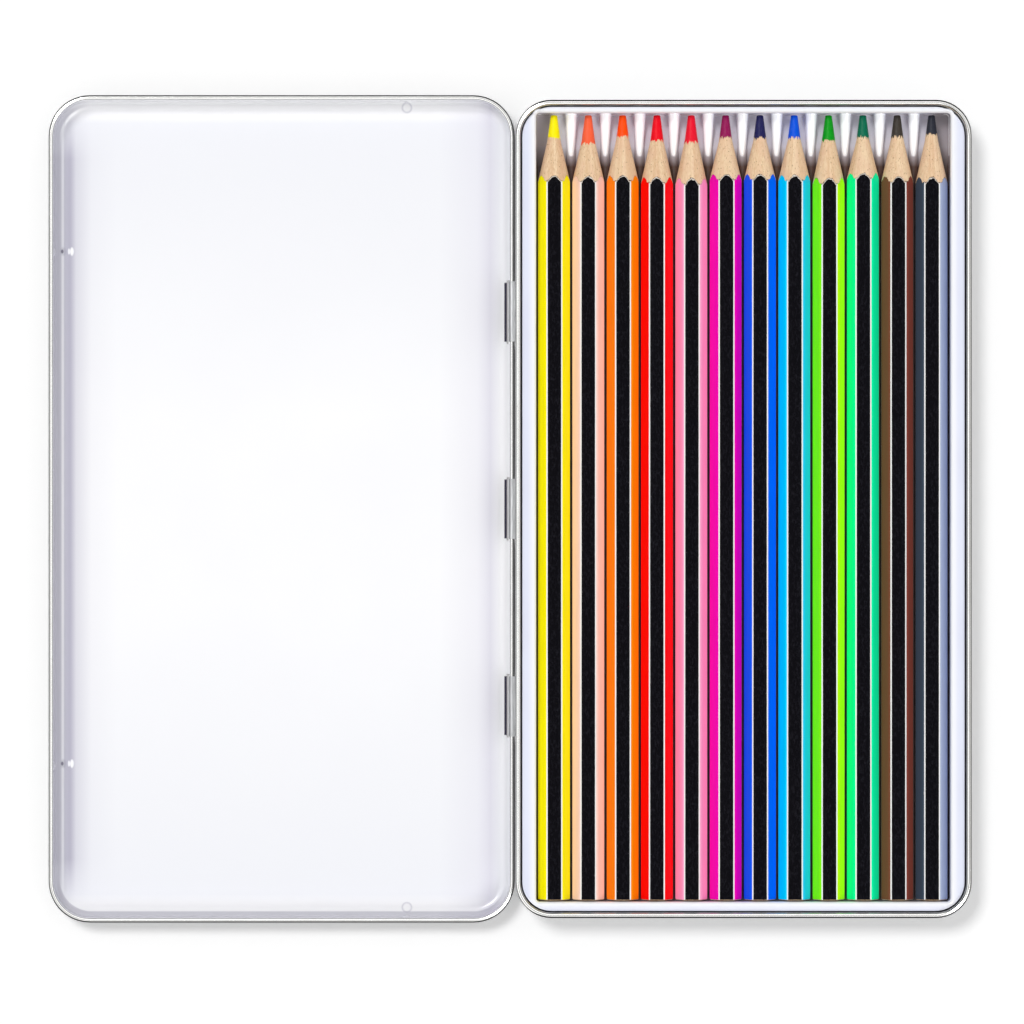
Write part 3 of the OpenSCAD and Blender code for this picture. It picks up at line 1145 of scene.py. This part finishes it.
    def build(self, name: str, sizes: Mapping[str, float], finish: bpy.types.Material) -> bpy.types.Object:
        """Runs the tree once and keeps its result as a plain mesh.

        Args:
            name: the piece's name.
            sizes: a value in metres, or radians, for each size.
            finish: the piece's material.

        Returns:
            The finished object.
        """
        carrier = bpy.data.objects.new(f"{name}_carrier", bpy.data.meshes.new(f"{name}_carrier"))
        bpy.context.scene.collection.objects.link(carrier)
        modifier = carrier.modifiers.new("barrel", "NODES")
        modifier.node_group = self.tree
        for item in self.tree.interface.items_tree:
            if item.in_out == "INPUT":
                modifier[item.identifier] = finish if item.name == "Finish" else float(sizes[item.name])
        graph = bpy.context.evaluated_depsgraph_get()
        mesh = bpy.data.meshes.new_from_object(carrier.evaluated_get(graph))
        carrier.modifiers.remove(modifier)
        bpy.data.objects.remove(carrier)
        mesh.name = name
        return smooth_piece(mesh, 35)


@dataclass(frozen=True)
class Turned:
    """A closed shape turned about a pencil's axis from a profile of (distance from the point, radius)."""

    name: str
    profile: Sequence[tuple[float, float]]
    around: int

    def build(self, place: PencilPlace) -> bpy.types.Object:
        """Makes the object, in metres, in its place.

        Args:
            place: the pencil's axis and point.

        Returns:
            The finished object.
        """
        points: list[tuple[float, float, float]] = []
        rings: list[list[int]] = []
        for along, radius in self.profile:
            count = 1 if radius == 0 else self.around
            ring = []
            for i in range(count):
                angle = 2 * math.pi * i / self.around
                ring.append(len(points))
                points.append((
                    (place.x + radius * math.sin(angle)) * MM,
                    (place.point_y - along) * MM,
                    (place.z + radius * math.cos(angle)) * MM,
                ))
            rings.append(ring)
        faces = []
        for here, there in zip(rings, rings[1:]):
            for i in range(self.around):
                j = (i + 1) % self.around
                turns = ((here, i), (there, i), (there, j), (here, j))
                faces.append(list(dict.fromkeys(ring[k % len(ring)] for ring, k in turns)))
        mesh = bpy.data.meshes.new(self.name)
        mesh.from_pydata(points, [], faces)
        return smooth_piece(mesh, 50)


@dataclass
class Pencil:
    """One pencil: its casing and its lead."""

    look: PencilLook
    size: PencilSize = field(init=False)
    place: PencilPlace = field(init=False)

    def __post_init__(self) -> None:
        """Finds the pencil's place from the frame's own solids."""
        self.size = PencilSize(cone=self.look.cone)
        low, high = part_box(f"pencil_{self.look.name}_lead")
        self.place = PencilPlace(
            x=(low[0] + high[0]) / 2 / MM, z=(low[2] + high[2]) / 2 / MM, point_y=high[1] / MM
        )

    @property
    def body(self) -> str:
        """Name of the body that the pencil moves with."""
        return f"pencil_{self.look.name}"

    def build(self, tree: BarrelTree) -> None:
        """Builds both pieces and puts them in place of the plain solids.

        Args:
            tree: the barrel's node tree.
        """
        casing = self.casing(tree)
        lead = self.lead()
        for piece, node, slot in (
            (casing, f"{self.body}_casing", f"paint_{self.look.name}"),
            (lead, f"{self.body}_lead", f"lead_{self.look.name}"),
        ):
            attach(piece, self.body)
            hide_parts(node)
            LOG.info("%s: %d faces", piece.name, len(piece.data.polygons))

    def casing(self, tree: BarrelTree) -> bpy.types.Object:
        """Makes the painted wooden casing.

        Args:
            tree: the barrel's node tree.

        Returns:
            The casing.
        """
        size, place = self.size, self.place
        lengths = (size.length, size.flats, size.edges, size.lead, size.bare, size.cone, size.glue)
        values = [length * MM for length in lengths] + [math.radians(self.look.roll)]
        values += [place.x * MM, place.z * MM, place.point_y * MM]
        finish = PencilCasing(self.look, size, place).material()
        return tree.build(f"{self.look.name}_casing", dict(zip(tree.SIZES, values)), finish)

    def lead(self) -> bpy.types.Object:
        """Makes the lead: a blunt, slightly worn point, then a plain rod through the casing.

        Returns:
            The lead.
        """
        size = self.size
        tip, rod = size.point / 2, size.lead / 2
        rise = (rod - tip) / size.bare
        profile = [(0.0, 0.0), (0.0, 0.55 * tip), (0.05, 0.85 * tip), (0.18, tip + 0.18 * rise)]
        profile += [(along, tip + along * rise) for along in np.linspace(0.8, size.bare, 8)]
        profile += [(size.length, rod), (size.length, 0.0)]
        piece = Turned(f"{self.look.name}_lead", profile, 48).build(self.place)
        piece.data.materials.append(LeadWax(self.look, size, self.place).material())
        return piece


# ---------------------------------------------------------------- tin and tray


@dataclass
class SheetParts:
    """The pans and the tray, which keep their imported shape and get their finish."""

    finishes: Mapping[str, Any]

    def dress(self) -> None:
        """Gives each node its material."""
        for node, finish in self.finishes.items():
            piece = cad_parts[node]
            material = finish.material(node)
            if not piece.material_slots:
                piece.data.materials.append(material)
            for place in piece.material_slots:
                place.material = material
            LOG.info("%s: %s", node, finish.name)


# ---------------------------------------------------------------- studio


@dataclass
class Studio:
    """Camera, lamps, world and floor."""

    image: int = 1024
    scale: float = 4.487
    scale_height: float = 6.0
    centre_x: float = -51.5
    centre_y: float = -0.69
    distance: float = 1.4
    suns: tuple[tuple[float, tuple[float, float, float], float], ...] = (
        (1.25, (-21.0, -20.0, 0.0), 18.0),
        (0.95, (25.0, 27.0, 0.0), 26.0),
    )
    fill: float = 0.46
    floor_half: float = 3.0

    def camera(self) -> None:
        """A long lens straight above, framed to the image."""
        data = bpy.data.cameras.new("camera")
        data.sensor_width = 36.0
        reach = self.distance - self.scale_height * MM
        data.lens = data.sensor_width * reach / (self.image / self.scale * MM)
        data.clip_end = 10.0
        camera = bpy.data.objects.new("camera", data)
        camera.location = (self.centre_x * MM, self.centre_y * MM, self.distance)
        bpy.context.scene.collection.objects.link(camera)
        bpy.context.scene.camera = camera

    def lamps(self, floor: bpy.types.Object) -> None:
        """Broad soft lamps: the key from the left, and a second from the right that leaves the floor alone.

        Args:
            floor: the sheet of paper under the tin.
        """
        spared = bpy.data.collections.new("spared_by_fill")
        spared.objects.link(floor)
        spared.collection_objects[0].light_linking.link_state = "EXCLUDE"
        for number, (strength, turn, softness) in enumerate(self.suns):
            data = bpy.data.lights.new(f"sun_{number}", "SUN")
            data.energy = strength
            data.angle = math.radians(softness)
            lamp = bpy.data.objects.new(data.name, data)
            lamp.rotation_euler = tuple(math.radians(angle) for angle in turn)
            if number:
                lamp.light_linking.receiver_collection = spared
            bpy.context.scene.collection.objects.link(lamp)

    def world(self) -> None:
        """A plain fill for matt surfaces, white for the camera, and a bright ring of light for gloss."""
        world = bpy.data.worlds.new("studio")
        world.use_nodes = True
        world.node_tree.nodes.clear()
        graph = Graph(world.node_tree)
        camera, passing, gloss = graph.rays(Ray.CAMERA, Ray.TRANSMISSION, Ray.GLOSSY)
        height = Coordinates(graph).z * MM
        ring = 0.06 + 1.14 * height.ramp(0.2, 0.55) - 0.8 * height.ramp(0.93, 0.97)
        strength = self.fill + (1.0 - self.fill) * camera.most(passing) + (ring - self.fill) * gloss
        background = graph.node("ShaderNodeBackground", inputs={"Color": (1.0,) * 3, "Strength": strength})
        graph.node("ShaderNodeOutputWorld", inputs={"Surface": background.outputs[0]})
        bpy.context.scene.world = world

    def floor(self) -> bpy.types.Object:
        """A large sheet of white paper under the tin.

        Returns:
            The sheet.
        """
        half = self.floor_half
        mesh = bpy.data.meshes.new("floor")
        corners = [(-half, -half, 0.0), (half, -half, 0.0), (half, half, 0.0), (-half, half, 0.0)]
        mesh.from_pydata(corners, [], [(0, 1, 2, 3)])
        floor = bpy.data.objects.new("floor", mesh)
        floor.data.materials.append(FloorPaper().material())
        bpy.context.scene.collection.objects.link(floor)
        return floor

    def build(self) -> None:
        """Sets the whole studio up."""
        scene = bpy.context.scene
        scene.view_settings.view_transform = "Standard"
        self.camera()
        self.world()
        self.lamps(self.floor())


LOOKS = (
    PencilLook("yellow", srgb(255, 242, 0), srgb(255, 240, 0), roll=1.2, bare=5.4, cone=14.7, wood=0.6),
    PencilLook("peach", srgb(255, 214, 200), srgb(250, 100, 62), roll=-0.8, bare=6.6, cone=14.8),
    PencilLook(
        "orange", srgb(255, 130, 0), srgb(255, 78, 0),
        roll=0.5, bare=5.1, cone=14.7, right=srgb(255, 146, 12), wood=0.35,
    ),
    PencilLook("red", srgb(252, 0, 6), srgb(240, 0, 28), roll=-1.6, bare=6.0, cone=15.1, wood=0.6),
    PencilLook("pink", srgb(255, 164, 206), srgb(236, 16, 46), roll=1.0, bare=6.3, cone=15.4),
    PencilLook(
        "magenta", srgb(244, 0, 178), srgb(146, 16, 84),
        roll=1.8, bare=5.2, cone=14.4, right=srgb(255, 0, 186), wood=0.4,
    ),
    PencilLook(
        "blue", srgb(0, 92, 248), srgb(30, 30, 82),
        roll=-1.4, bare=5.4, cone=14.4, right=srgb(0, 106, 246),
    ),
    PencilLook(
        "sky", srgb(0, 216, 255), srgb(0, 84, 220),
        roll=0.2, bare=5.3, cone=14.6, right=srgb(36, 206, 255), wood=0.4,
    ),
    PencilLook(
        "lime", srgb(132, 250, 10), srgb(0, 152, 22),
        roll=1.0, bare=6.0, cone=15.3, right=srgb(206, 255, 0),
    ),
    PencilLook(
        "spring_green", srgb(0, 252, 158), srgb(0, 106, 76),
        roll=-0.8, bare=5.1, cone=14.1, right=srgb(0, 255, 180), wood=0.4,
    ),
    PencilLook(
        "brown", srgb(122, 72, 50), srgb(60, 54, 48),
        roll=1.6, bare=5.1, cone=14.9, right=srgb(134, 62, 54),
    ),
    PencilLook(
        "slate", srgb(62, 76, 92), srgb(42, 44, 54),
        roll=-1.2, bare=4.6, cone=15.1, right=srgb(178, 190, 222),
    ),
)


def main() -> None:
    """Builds the studio, dresses the tin and makes the pencils."""
    logging.basicConfig(level=logging.INFO, format="%(name)s %(message)s")
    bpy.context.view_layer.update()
    Studio().build()
    SheetParts({"base_pan": Tinplate(seam=0.4), "lid_pan": LidFinish(), "pencil_tray": TrayPlastic()}).dress()
    tree = BarrelTree()
    for look in LOOKS:
        Pencil(look).build(tree)


if __name__ == "__main__":
    main()
